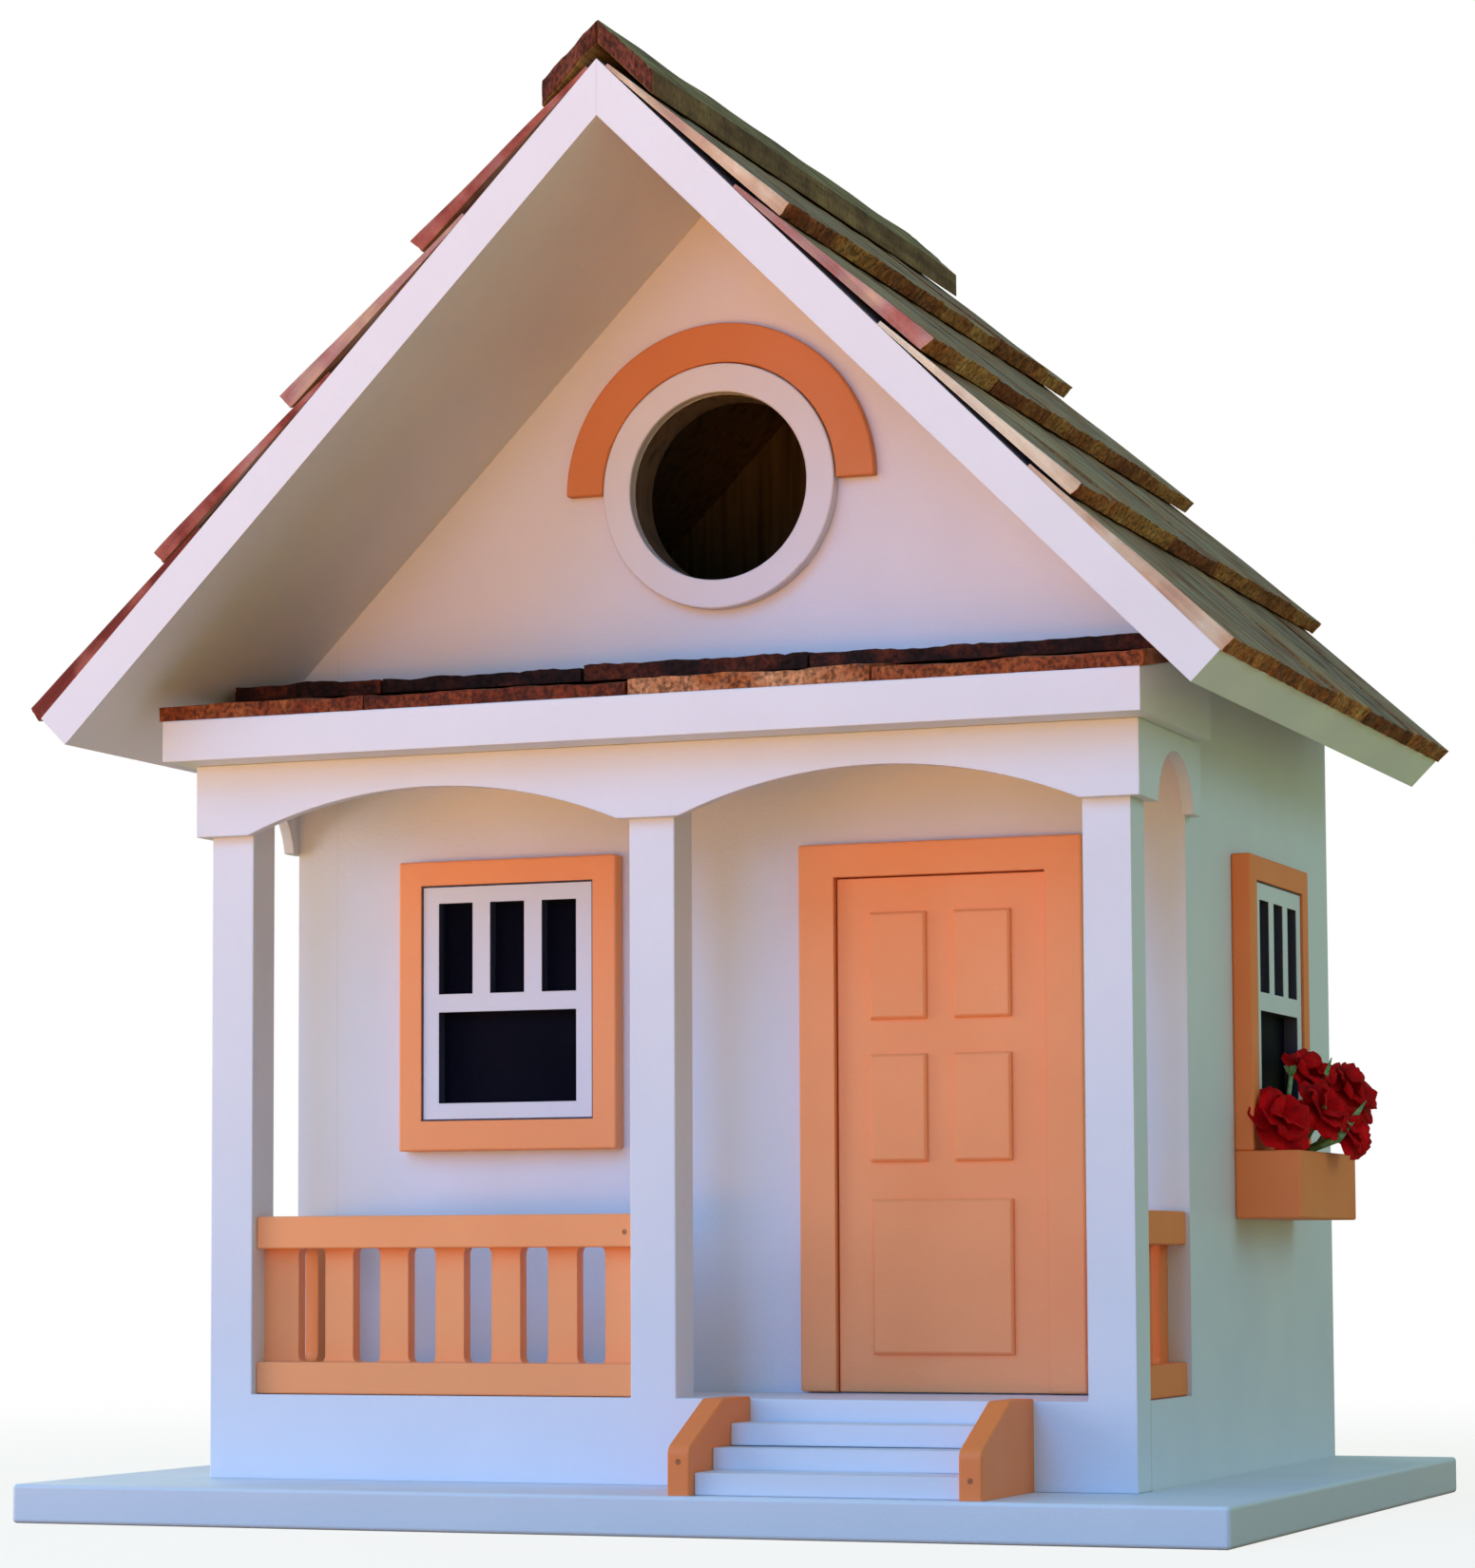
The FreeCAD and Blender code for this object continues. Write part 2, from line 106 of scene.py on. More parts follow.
def house_paint(name, light, dark, bare, roughness, rooms=(), inner=(), shine=0.5):
    """Rolled paint over wood: its thick and thin tones, and the wood that shows at worn edges.
    Inside the given rooms, each a low and a high corner, it gives way to three inner colours."""
    material, tree, output = new_finish(name)
    place = add(tree, "ShaderNodeTexCoord")
    # The coat is thicker and thinner over patches about 22 mm across.
    cloud = add(
        tree, "ShaderNodeTexNoise", {"Scale": 1 / (22 * mm), "Detail": 3.0}, {"Vector": (place, "Object")}
    )
    tone = add(
        tree, "ShaderNodeMix", {"data_type": "RGBA", 6: linear(light), 7: linear(dark)}, {0: (cloud, "Fac")}
    )
    # The roller leaves a stipple about 0.7 mm across. The grain below it, 1.8 mm wide, still shows
    # as faint ridges about half as high.
    grain_height = 0.55
    stipple = add(
        tree, "ShaderNodeTexNoise", {"Scale": 1 / (0.7 * mm), "Detail": 2.0}, {"Vector": (place, "Object")}
    )
    grain_place = add(tree, "ShaderNodeMapping", {"Scale": (1.0, 1.0, 0.06)}, {"Vector": (place, "Object")})
    grain = add(
        tree,
        "ShaderNodeTexNoise",
        {"Scale": 1 / (1.8 * mm), "Detail": 3.0},
        {"Vector": (grain_place, "Vector")},
    )
    relief = add(
        tree,
        "ShaderNodeMath",
        {"operation": "MULTIPLY_ADD", 1: grain_height},
        {0: (grain, "Fac"), 2: (stipple, "Fac")},
    )
    bump = add(
        tree, "ShaderNodeBump", {"Strength": 0.55, "Distance": 0.09 * mm}, {"Height": (relief, "Value")}
    )
    # Paint draws back from a sharp edge, so a thin warm line shows along it.
    eased = add(tree, "ShaderNodeBevel", {"samples": 4, "Radius": 0.55 * mm})
    shape = add(tree, "ShaderNodeNewGeometry")
    turn = add(
        tree,
        "ShaderNodeVectorMath",
        {"operation": "DOT_PRODUCT"},
        {0: (eased, "Normal"), 1: (shape, "Normal")},
    )
    thin = add(
        tree,
        "ShaderNodeMapRange",
        {"From Min": 0.995, "From Max": 0.8, "To Min": 0.0, "To Max": 0.22},
        {"Value": (turn, "Value")},
    )
    worn = add(
        tree,
        "ShaderNodeMix",
        {"data_type": "RGBA", 7: linear(bare)},
        {0: (thin, "Result"), 6: (tone, 2)},
    )
    colour = worn
    if rooms:
        # Wood shows wherever a point lies between the corners of any room, along all three axes.
        bare_mask = None
        split = add(tree, "ShaderNodeSeparateXYZ", None, {"Vector": (place, "Object")})
        for low, high in rooms:
            for axis in range(3):
                middle = (low[axis] + high[axis]) / 2
                half = (high[axis] - low[axis]) / 2
                inside = add(
                    tree, "ShaderNodeMath", {"operation": "COMPARE", 1: middle, 2: half}, {0: (split, axis)}
                )
                if axis == 0:
                    room = inside
                else:
                    room = add(
                        tree, "ShaderNodeMath", {"operation": "MULTIPLY"}, {0: (room, 0), 1: (inside, 0)}
                    )
            if bare_mask is None:
                bare_mask = room
            else:
                bare_mask = add(
                    tree, "ShaderNodeMath", {"operation": "MAXIMUM"}, {0: (bare_mask, 0), 1: (room, 0)}
                )
        # Growth rings about 2.2 mm apart run up the board.
        wood_place = add(
            tree, "ShaderNodeMapping", {"Scale": (1.0, 1.0, 0.05)}, {"Vector": (place, "Object")}
        )
        rings = add(
            tree,
            "ShaderNodeTexNoise",
            {"Scale": 1 / (2.2 * mm), "Detail": 5.0},
            {"Vector": (wood_place, "Vector")},
        )
        wood = add(
            tree,
            "ShaderNodeValToRGB",
            {"stops": ((0.3, inner[0]), (0.55, inner[1]), (0.75, inner[2]))},
            {"Fac": (rings, "Fac")},
        )
        colour = add(
            tree,
            "ShaderNodeMix",
            {"data_type": "RGBA"},
            {0: (bare_mask, 0), 6: (worn, 2), 7: (wood, "Color")},
        )
    sheen = add(
        tree,
        "ShaderNodeMapRange",
        {"From Min": 0.3, "From Max": 0.7, "To Min": roughness - 0.06, "To Max": roughness + 0.08},
        {"Value": (cloud, "Fac")},
    )
    paint = add(
        tree,
        "ShaderNodeBsdfPrincipled",
        {"IOR": 1.47, "Specular IOR Level": shine},
        {"Base Color": (colour, 2), "Roughness": (sheen, "Result"), "Normal": (bump, "Normal")},
    )
    tree.links.new(paint.outputs["BSDF"], output.inputs["Surface"])
    return material


# Acrylic house paint, satin, rolled: a cool white with a soft sheen and a fine stipple, and a trace
# of warm wood along its edges.
cool_white = ("#dee3f2", "#d6dae9", "#b9a68e")
satin = 0.46
white_paint = house_paint("white_acrylic_paint", *cool_white, satin)

# Corners closer than this are one corner, and faces that meet at more than this angle have an edge
# between them. Edges stay crisp in the shading, and the sanded rounds along them are smooth.
touching = 0.001 * mm
edge_angle = math.radians(40)

smooth_edges = bpy.data.node_groups.new("softened_edges", "GeometryNodeTree")
smooth_edges.interface.new_socket("Geometry", in_out="INPUT", socket_type="NodeSocketGeometry")
smooth_edges.interface.new_socket("Geometry", in_out="OUTPUT", socket_type="NodeSocketGeometry")
board_in = add(smooth_edges, "NodeGroupInput")
angle = add(smooth_edges, "GeometryNodeInputMeshEdgeAngle")
sharp = add(
    smooth_edges,
    "FunctionNodeCompare",
    {"data_type": "FLOAT", "operation": "GREATER_THAN", 1: edge_angle},
    {0: (angle, "Unsigned Angle")},
)
shaded = add(
    smooth_edges,
    "GeometryNodeSetMeshNormal",
    {"mode": "SHARPNESS", "Remove Custom": True},
    {"Mesh": (board_in, 0), "Edge Sharpness": (sharp, 0)},
)
add(smooth_edges, "NodeGroupOutput", None, {0: (shaded, 0)})


def finish_piece(piece, material, edge=0.0):
    """Gives a piece its finish, and rounds its edges by a width, as sanding does."""
    if not piece.material_slots:
        piece.data.materials.append(material)
    for slot in piece.material_slots:
        slot.material = material
    if edge:
        weld = piece.modifiers.new("joined_faces", "WELD")
        weld.merge_threshold = touching
        flat = piece.modifiers.new("flat_faces", "DECIMATE")
        flat.decimate_type = "DISSOLVE"
        flat.angle_limit = math.radians(0.5)
        eased = piece.modifiers.new("sanded_edges", "BEVEL")
        eased.width = edge
        eased.segments = 2
        eased.limit_method = "ANGLE"
        eased.angle_limit = edge_angle
        shade = piece.modifiers.new("softened_edges", "NODES")
        shade.node_group = smooth_edges
        level = piece.modifiers.new("level_faces", "WEIGHTED_NORMAL")
        level.weight = 100  # only the broad faces count
        level.keep_sharp = True


finish_piece(nodes["base_board"], white_paint)


# ---- Walls ------------------------------------------------------------------------------------
# Front and back gable walls and two side walls, 9 mm boards glued edge to face. The outside is
# rolled white. The inside is left as sawn wood, and so is the rim of the entry, bored afterwards.

# The nest space, the entry's rim and the clean-out opening's rim, as low and high corners.
cavity = ((-86.4 * mm, -15.8 * mm, 7.6 * mm), (86.4 * mm, 79.6 * mm, 262.0 * mm))
bore = ((-19.2 * mm, -24.65 * mm, 186.0 * mm), (19.2 * mm, -15.6 * mm, 224.8 * mm))
back_bore = ((-26.1 * mm, 79.4 * mm, 25.9 * mm), (26.1 * mm, 88.45 * mm, 66.1 * mm))

# The same paint on boards whose inner faces stay bare: sawn pine, coloured a dark grey-brown that also
# paints in the shade inside the nest, the entry and the clean-out opening.
wall_paint = house_paint(
    "white_acrylic_paint_bare_inside_painted_shade",
    *cool_white,
    satin,
    rooms=(cavity, bore, back_bore),
    inner=("#4c4038", "#776a60", "#5d5048"),
)

for wall in ("front_wall", "back_wall", "left_side_wall", "right_side_wall"):
    finish_piece(nodes[wall], wall_paint)


# ---- Roof boards ------------------------------------------------------------------------------
# Two 7.7 mm boards mitred at the ridge and nailed to the gables. They are painted white all round
# before the shingles go on, and only the part over the nest is bare.

for side in ("left", "right"):
    finish_piece(nodes[side + "_roof_panel"], wall_paint, 0.35 * mm)


# ---- Shingles ---------------------------------------------------------------------------------
# Split and sawn cedar shingles, tapered from about 3.5 mm to 1 mm, dipped in dark stain and glued
# and tacked in four courses a side. The sawn edges that show at the front gable were cut later,
# so they are bare cedar, pinkish or straw-coloured.


def solids_of(node):
    """The corner points of each separate solid in a CAD node."""
    shape = bmesh.new()
    shape.from_mesh(nodes[node].data)
    bmesh.ops.remove_doubles(shape, verts=shape.verts, dist=touching)
    waiting, solids = dict.fromkeys(shape.verts), []
    while waiting:
        reached = [waiting.popitem()[0]]
        for corner in reached:
            for edge in corner.link_edges:
                other = edge.other_vert(corner)
                if other in waiting:
                    del waiting[other]
                    reached.append(other)
        solids.append([corner.co.copy() for corner in reached])
    shape.free()
    return solids


def wedge_of(points, across, along, up):
    """How far a tapered solid reaches across, along and up, its thin end first."""
    at_end = 0.05 * mm
    lengths = [p.dot(along) for p in points]
    widths = [p.dot(across) for p in points]
    ends = []
    for end in (min(lengths), max(lengths)):
        heights = [p.dot(up) for p, l in zip(points, lengths) if abs(l - end) < at_end]
        ends.append((min(heights), max(heights)))
    return (min(widths), max(widths)), (min(lengths), max(lengths)), ends


def cedar_board(
    shape, wedge, directions, seed, tone, tear=1.0, bare=None, limit=None, rows=3.0, cupped=0.3
):
    """Adds one split board to a bmesh. Grain runs along it, and its butt is torn back unevenly.
    Every change is inwards, so the board keeps inside its CAD solid. Tear and cupped are depths in
    mm, and rows is the lattice's spacing along it in mm. Bare is how bare its sawn edge is, and
    that edge's tone. Limit is the height at which 45-degree slopes meet over it."""
    across, along, up = directions
    (a0, a1), (l0, l1), (top, butt) = wedge
    column_width = 1.5 * mm
    columns = max(8, round((a1 - a0) / column_width))
    steps = max(8, round((l1 - l0) / (rows * mm)))
    layers = 4
    # How often the surface rises and falls per mm across the board, and per mm along it: narrow
    # split ridges and a broad swell.
    ridge_rate, swell_rate = (0.85, 0.03), (0.13, 0.05)
    # The same on the torn butt, across it and through its thickness: coarse tears and fine fibres.
    tear_rate, fibre_rate = (0.3, 0.7), (1.3, 2.6)
    ridge_depth, tear_depth, fibre_depth, butt_drop, side_wander = 0.34, 0.55, 0.5, 0.25, 0.1
    grain = shape.verts.layers.float_vector["grain"]
    tone_layer = shape.faces.layers.float["tone"]
    cut_layer = shape.faces.layers.float["end_grain"]
    bare_layer = shape.faces.layers.float["bare"]
    corners = {}

    def corner(i, j, k):
        if (i, j, k) in corners:
            return corners[i, j, k]
        u, v, w = i / columns, j / steps, k / layers
        x = (a0 + u * (a1 - a0)) / mm
        y = (l0 + v * (l1 - l0)) / mm
        ridges = noise.noise((x * ridge_rate[0], y * ridge_rate[1], seed))
        swell = noise.noise((x * swell_rate[0], y * swell_rate[1], seed + 9.1))
        low = top[0] + v * (butt[0] - top[0])
        high = top[1] + v * (butt[1] - top[1])
        thick = high - low
        drop = min(0.5 * thick, (ridge_depth * max(0.0, ridges) + cupped * (swell + 1)) * mm)
        pull = 0.0
        if j == steps:
            rough = tear_depth * (noise.noise((x * tear_rate[0], w * tear_rate[1], seed + 3.3)) + 0.75)
            rough += fibre_depth * abs(noise.noise((x * fibre_rate[0], w * fibre_rate[1], seed + 5.7)))
            pull = tear * rough * mm
            drop += butt_drop * mm * abs(noise.noise((x * 0.5, 0.3, seed + 7.9)))
        edge = side_wander * (1 + noise.noise((y * 0.12, w * 1.1, seed + 1.7 + i))) * mm
        a = a0 + u * (a1 - a0) + (edge if i == 0 else -edge if i == columns else 0.0)
        l = l0 + v * (l1 - l0) - pull
        n = low + w * thick - drop * w * w
        point = across * a + along * l + up * n
        if limit:
            reach = limit - point.z
            point.x = max(-reach, min(reach, point.x))
        made = shape.verts.new(point)
        made[grain] = Vector((x, y, n / mm + seed * 17.0)) * mm
        corners[i, j, k] = made
        return made

    def face(points, end_grain, cut=None):
        made = shape.faces.new([corner(*p) for p in points])
        made[cut_layer] = end_grain
        made[bare_layer], made[tone_layer] = cut or (0.0, tone)
        made.smooth = True

    # The top and underside, the two ends, then the two long sides, the first of which may be sawn.
    for i in range(columns):
        for j in range(steps):
            face(((i, j, layers), (i + 1, j, layers), (i + 1, j + 1, layers), (i, j + 1, layers)), 0.0)
            face(((i, j, 0), (i, j + 1, 0), (i + 1, j + 1, 0), (i + 1, j, 0)), 0.0)
        for k in range(layers):
            face(((i, steps, k), (i, steps, k + 1), (i + 1, steps, k + 1), (i + 1, steps, k)), 1.0)
            face(((i, 0, k), (i + 1, 0, k), (i + 1, 0, k + 1), (i, 0, k + 1)), 1.0)
    for j in range(steps):
        for k in range(layers):
            face(((0, j, k), (0, j, k + 1), (0, j + 1, k + 1), (0, j + 1, k)), 0.5, bare)
            far_side = ((columns, j, k), (columns, j + 1, k), (columns, j + 1, k + 1), (columns, j, k + 1))
            face(far_side, 0.5)


def cedar_shape():
    """An empty bmesh with the layers that the stain reads."""
    shape = bmesh.new()
    shape.verts.layers.float_vector.new("grain")
    for layer in ("tone", "end_grain", "bare"):
        shape.faces.layers.float.new(layer)
    return shape


def new_piece(name, shape, body="house", stands_for=()):
    """A piece from a bmesh, riding on its body and standing for its CAD nodes."""
    bmesh.ops.recalc_face_normals(shape, faces=shape.faces)
    mesh = bpy.data.meshes.new(name)
    shape.to_mesh(mesh)
    shape.free()
    piece = bpy.data.objects.new(name, mesh)
    bpy.context.scene.collection.objects.link(piece)
    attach(piece, body)
    if stands_for:
        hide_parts(*stands_for)
    return piece


def rounded(piece, width, angle=55):
    """Rounds a board's worn arrises."""
    worn = piece.modifiers.new("worn_arrises", "BEVEL")
    worn.width = width
    worn.segments = 2
    worn.limit_method = "ANGLE"
    worn.angle_limit = math.radians(angle)


# A bare sawn edge runs from pinkish heartwood to straw-coloured sapwood.
sawn_tones = ((0.0, "#7d2f28"), (0.22, "#a85f57"), (0.42, "#b2888a"), (0.7, "#c6ab96"), (1.0, "#dad2c2"))


def cedar_stain(name, tones, film_tones, film_cover, film_reach=0.4):
    """Stained cedar. A board's tone picks its colour. Film is the weathering on its upper face: its
    cover is how thick it is, and its reach how far it runs on over the cut faces."""
    material, tree, output = new_finish(name)
    place = add(tree, "ShaderNodeAttribute", {"attribute_name": "grain"})
    tone = add(tree, "ShaderNodeAttribute", {"attribute_name": "tone"})
    end_grain = add(tree, "ShaderNodeAttribute", {"attribute_name": "end_grain"})
    bare = add(tree, "ShaderNodeAttribute", {"attribute_name": "bare"})
    # Growth rings lie 1 to 1.5 mm apart across the shingle and run its whole length.
    stretched = add(tree, "ShaderNodeMapping", {"Scale": (1.0, 0.035, 0.6)}, {"Vector": (place, "Vector")})
    rings = add(
        tree,
        "ShaderNodeTexNoise",
        {"Scale": 1 / (1.3 * mm), "Detail": 6.0, "Roughness": 0.65, "Distortion": 0.3},
        {"Vector": (stretched, "Vector")},
    )
    blotch = add(
        tree, "ShaderNodeTexNoise", {"Scale": 1 / (9 * mm), "Detail": 5.0}, {"Vector": (place, "Vector")}
    )
    # Torn fibres and pits on the split ends are 1 to 2 mm across.
    pits = add(
        tree,
        "ShaderNodeTexNoise",
        {"Scale": 1 / (1.0 * mm), "Detail": 5.0, "Roughness": 0.6},
        {"Vector": (place, "Vector")},
    )
    # Stain takes unevenly, so the tone drifts along each board, up and down by half the swing.
    swing = 1.1
    drift = add(
        tree,
        "ShaderNodeMath",
        {"operation": "MULTIPLY_ADD", 1: swing, 2: -swing / 2},
        {0: (blotch, "Fac")},
    )
    uneven = add(
        tree, "ShaderNodeMath", {"operation": "ADD", "use_clamp": True}, {0: (drift, 0), 1: (tone, "Fac")}
    )
    stain = add(tree, "ShaderNodeValToRGB", {"stops": tones}, {"Fac": (uneven, 0)})
    depth = add(
        tree,
        "ShaderNodeMapRange",
        {"From Min": 0.32, "From Max": 0.68, "To Min": 0.55, "To Max": 1.35},
        {"Value": (rings, "Fac")},
    )
    grained = add(
        tree, "ShaderNodeVectorMath", {"operation": "SCALE"}, {0: (stain, "Color"), 3: (depth, "Result")}
    )
    # Sun and rain leave a film on the upper face, patchy, and in streaks down the grain.
    patch_contrast, patch_start = 1.8, -0.25
    lying = add(
        tree,
        "ShaderNodeMapRange",
        {"From Min": 0.0, "From Max": film_reach, "To Min": film_cover, "To Max": 0.0},
        {"Value": (end_grain, "Fac")},
    )
    patch = add(
        tree,
        "ShaderNodeMath",
        {"operation": "MULTIPLY_ADD", 1: patch_contrast, 2: patch_start, "use_clamp": True},
        {0: (blotch, "Fac")},
    )
    covered = add(tree, "ShaderNodeMath", {"operation": "MULTIPLY"}, {0: (lying, "Result"), 1: (patch, 0)})
    film = add(
        tree,
        "ShaderNodeValToRGB",
        {"stops": ((0.36, film_tones[0]), (0.64, film_tones[1]))},
        {"Fac": (rings, "Fac")},
    )
    aged = add(
        tree,
        "ShaderNodeMix",
        {"data_type": "RGBA"},
        {0: (covered, 0), 6: (grained, "Vector"), 7: (film, "Color")},
    )
    # Pits darken the cut faces only.
    pit_depth = add(
        tree,
        "ShaderNodeMapRange",
        {"From Min": 0.4, "From Max": 0.56, "To Min": 0.4, "To Max": 1.12},
        {"Value": (pits, "Fac")},
    )
    pitting = add(
        tree,
        "ShaderNodeMix",
        {"data_type": "FLOAT", 2: 1.0},
        {0: (end_grain, "Fac"), 3: (pit_depth, "Result")},
    )
    pitted = add(tree, "ShaderNodeVectorMath", {"operation": "SCALE"}, {0: (aged, 2), 3: (pitting, 0)})
    sawn = add(tree, "ShaderNodeValToRGB", {"stops": sawn_tones}, {"Fac": (uneven, 0)})
    saw_marks = add(
        tree,
        "ShaderNodeMapRange",
        {"From Min": 0.35, "From Max": 0.65, "To Min": 0.75, "To Max": 1.05},
        {"Value": (rings, "Fac")},
    )
    sawn_grain = add(
        tree, "ShaderNodeVectorMath", {"operation": "SCALE"}, {0: (sawn, "Color"), 3: (saw_marks, "Result")}
    )
    surface = add(
        tree,
        "ShaderNodeMix",
        {"data_type": "RGBA"},
        {0: (bare, "Fac"), 6: (pitted, "Vector"), 7: (sawn_grain, "Vector")},
    )
    torn = add(tree, "ShaderNodeMath", {"operation": "MULTIPLY"}, {0: (pits, "Fac"), 1: (end_grain, "Fac")})
    relief = add(tree, "ShaderNodeMath", {"operation": "ADD"}, {0: (torn, 0), 1: (rings, "Fac")})
    bump = add(tree, "ShaderNodeBump", {"Strength": 0.8, "Distance": 0.45 * mm}, {"Height": (relief, 0)})
    wood = add(
        tree,
        "ShaderNodeBsdfPrincipled",
        {"Roughness": 0.7, "Specular IOR Level": 0.2},
        {"Base Color": (surface, 2), "Normal": (bump, "Normal")},
    )
    tree.links.new(wood.outputs["BSDF"], output.inputs["Surface"])
    return material


# Brown penetrating stain on cedar, some seasons old: golden to red-brown ends, dull grey-brown tops
# streaked with a paler grey.
shingle_tones = ((0.0, "#4a1f12"), (0.3, "#8a482c"), (0.5, "#a5653a"), (0.75, "#c08a54"), (1.0, "#dcb07c"))
shingle_stain = cedar_stain("stained_cedar_shingle", shingle_tones, ("#50483f", "#aaa08e"), 0.9)


def slope_of(sign):
    """Down the 45-degree roof and square out of it, on the right (1) or the left (-1)."""
    half = math.sqrt(0.5)
    return Vector((sign * half, 0, -half)), Vector((sign * half, 0, half))


# How pale the stain took on each shingle, course by course and from the front.
course_tones = (
    (0.5, 0.35, 0.6, 0.2, 0.45),
    (0.42, 0.62, 0.3, 0.55, 0.4, 0.5),
    (0.6, 0.3, 0.5, 0.35, 0.55),
    (0.3, 0.55, 0.4, 0.6, 0.35, 0.5),
)
# How bare each course's sawn edge is at the gable, and how straw-coloured.
gable_edges = {
    "right": ((0.95, 0.78), (0.97, 0.98), (0.95, 0.42), (0.95, 0.72)),
    "left": ((0.8, 0.02), (0.9, 0.16), (0.9, 0.5), (0.85, 0.2)),
}

for side, sign in (("right", 1), ("left", -1)):
    directions = (Vector((0, 1, 0)), *slope_of(sign))
    for course, tones in enumerate(course_tones, start=1):
        node = f"{side}_shingle_course_{course}"
        shape = cedar_shape()
        for number, points in enumerate(sorted(solids_of(node), key=lambda s: min(p.y for p in s))):
            cedar_board(
                shape,
                wedge_of(points, *directions),
                directions,
                # No two shingles split alike, and the left slope's tones start two shingles on.
                seed=course * 11.3 + number * 3.7 + sign,
                tone=tones[(number + (sign < 0) * 2) % len(tones)],
                bare=gable_edges[side][course - 1] if number == 0 else None,
            )
        shingles = new_piece(f"{side}_shingles_{course}", shape, stands_for=[node])
        finish_piece(shingles, shingle_stain)
        rounded(shingles, 0.25 * mm)


# ---- Ridge caps -------------------------------------------------------------------------------
# Two cedar strips, 4 mm thick, mitred together over the ridge and resting on the top course. Their
# grain runs the length of the house, and the front ends were split off rather than sawn.


def section_corner(points, out, high):
    """The corner of a strip's section farthest out or in, and highest or lowest there."""
    same = 0.05 * mm
    edge = max(p.x * out for p in points) if out else min(abs(p.x) for p in points)
    there = [p for p in points if (abs(p.x * out - edge) if out else abs(abs(p.x) - edge)) < same]
    return (max if high else min)(there, key=lambda p: p.z)


# The same stain, greened by moss and lichen on the ridge; the split ends stay red-brown.
ridge_tones = ((0.0, "#3a1812"), (0.4, "#6a3628"), (0.8, "#8a5640"), (1.0, "#a87858"))
ridge_stain = cedar_stain("stained_cedar_ridge", ridge_tones, ("#65543a", "#a08e62"), 1.1, film_reach=0.95)

for side, sign in (("right", 1), ("left", -1)):
    node = side + "_ridge_cap"
    points = solids_of(node)[0]
    down, out = slope_of(sign)
    directions = (down, Vector((0, -1, 0)), out)
    shape = cedar_shape()
    wedge = wedge_of(points, *directions)
    cedar_board(shape, wedge, directions, seed=61.0 + sign, tone=0.32, rows=4.5)
    # The strip's long edges are plumb, so each lattice point slides along the slope to its own edge.
    inner_low, inner_high = section_corner(points, 0, False), section_corner(points, 0, True)
    outer_low, outer_high = section_corner(points, sign, False), section_corner(points, sign, True)
    (a0, a1), _, (heights, _) = wedge
    for vertex in shape.verts:
        u = (vertex.co.dot(down) - a0) / (a1 - a0)
        w = (vertex.co.dot(out) - heights[0]) / (heights[1] - heights[0])
        place = inner_low.lerp(outer_low, u).lerp(inner_high.lerp(outer_high, u), w)
        vertex.co.x, vertex.co.z = place.x, place.z
    cap = new_piece(f"{side}_ridge_strip", shape, stands_for=[node])
    finish_piece(cap, ridge_stain)
    rounded(cap, 0.35 * mm)


# ---- Porch ------------------------------------------------------------------------------------
# The posts and the apron under them are one white board with two bays sawn out. Thin fascia boards
# with sawn arches are glued round the top, and a sloping board carries two rows of shingles.

for board in ("porch_front_panel", "porch_deck", "porch_roof_board"):
    finish_piece(nodes[board], white_paint, 0.3 * mm)
for board in ("front_arch_fascia", "left_arch_fascia", "right_arch_fascia"):
    finish_piece(nodes[board], white_paint, 0.25 * mm)

# The same stain, fresher under the eaves: red-brown and tan with little grey.
porch_tone_stops = ((0.0, "#2c0f08"), (0.3, "#743016"), (0.6, "#9c5830"), (1.0, "#cf9f78"))
porch_stain = cedar_stain("stained_cedar_porch_shingle", porch_tone_stops, ("#4a3428", "#8a6a4a"), 0.4)
# The main roof's soffit slopes down over these shingles from the peak of the front wall.
soffit_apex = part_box("front_wall")[1].z
clearance = 0.25 * mm
level = (Vector((1, 0, 0)), Vector((0, -1, 0)), Vector((0, 0, 1)))
# The front row's cut ends are tan to brown. The rear row's take the darkest tones, which paint in the shade
# under the soffit.
porch_tones_and_shade = {"front": (0.42, 0.24, 0.7, 0.5), "rear": (0.1, 0.02, 0.12, 0.06)}
for row, tones in porch_tones_and_shade.items():
    node = "porch_shingles_" + row
    shape = cedar_shape()
    for number, points in enumerate(sorted(solids_of(node), key=lambda s: min(p.x for p in s))):
        cedar_board(
            shape,
            wedge_of(points, *level),
            level,
            seed=83.0 + number * 5.1 + len(row),
            tone=tones[number],
            tear=0.8,
            limit=soffit_apex - clearance,
            cupped=0.5,
        )
    shingles = new_piece(f"porch_{row}_shingles", shape, stands_for=[node])
    finish_piece(shingles, porch_stain)
    rounded(shingles, 0.25 * mm)


# ---- Entry ------------------------------------------------------------------------------------
# A turned white ring round the 38 mm hole, and over it half a ring sawn from 2.5 mm board, painted
# apricot darkened with brown as painted shade. Both are glued to the gable.

# Apricot acrylic house paint: chalkier than the white, and deeper where it draws back from edges.
apricot_paint = house_paint("apricot_acrylic_paint", "#fba46c", "#f59a61", "#b4582a", 0.52)
# The side windows, their boxes, the right railing and the stringers take a deeper copy of the same paint:
# painted shade for the light these parts get.
shaded_apricot_paint = house_paint("apricot_acrylic_paint_with_painted_shade", "#fb8b4a", "#f38142", "#a84e24", 0.55)
# The hood's coat is the same paint with brown in it: painted shade, for the shade the hood lies in on the
# gable.
hood_paint = house_paint("hood_apricot_paint_with_painted_shade", "#d3854f", "#ca7b46", "#96481f", 0.55)

finish_piece(nodes["entry_ring"], white_paint)
finish_piece(nodes["entry_hood"], hood_paint)


# ---- Windows ----------------------------------------------------------------------------------
# Each is a white sash cut from one thin board, three lights over one, in an apricot casing. Behind
# it lies a flat board painted dark blue, which stands for glass.

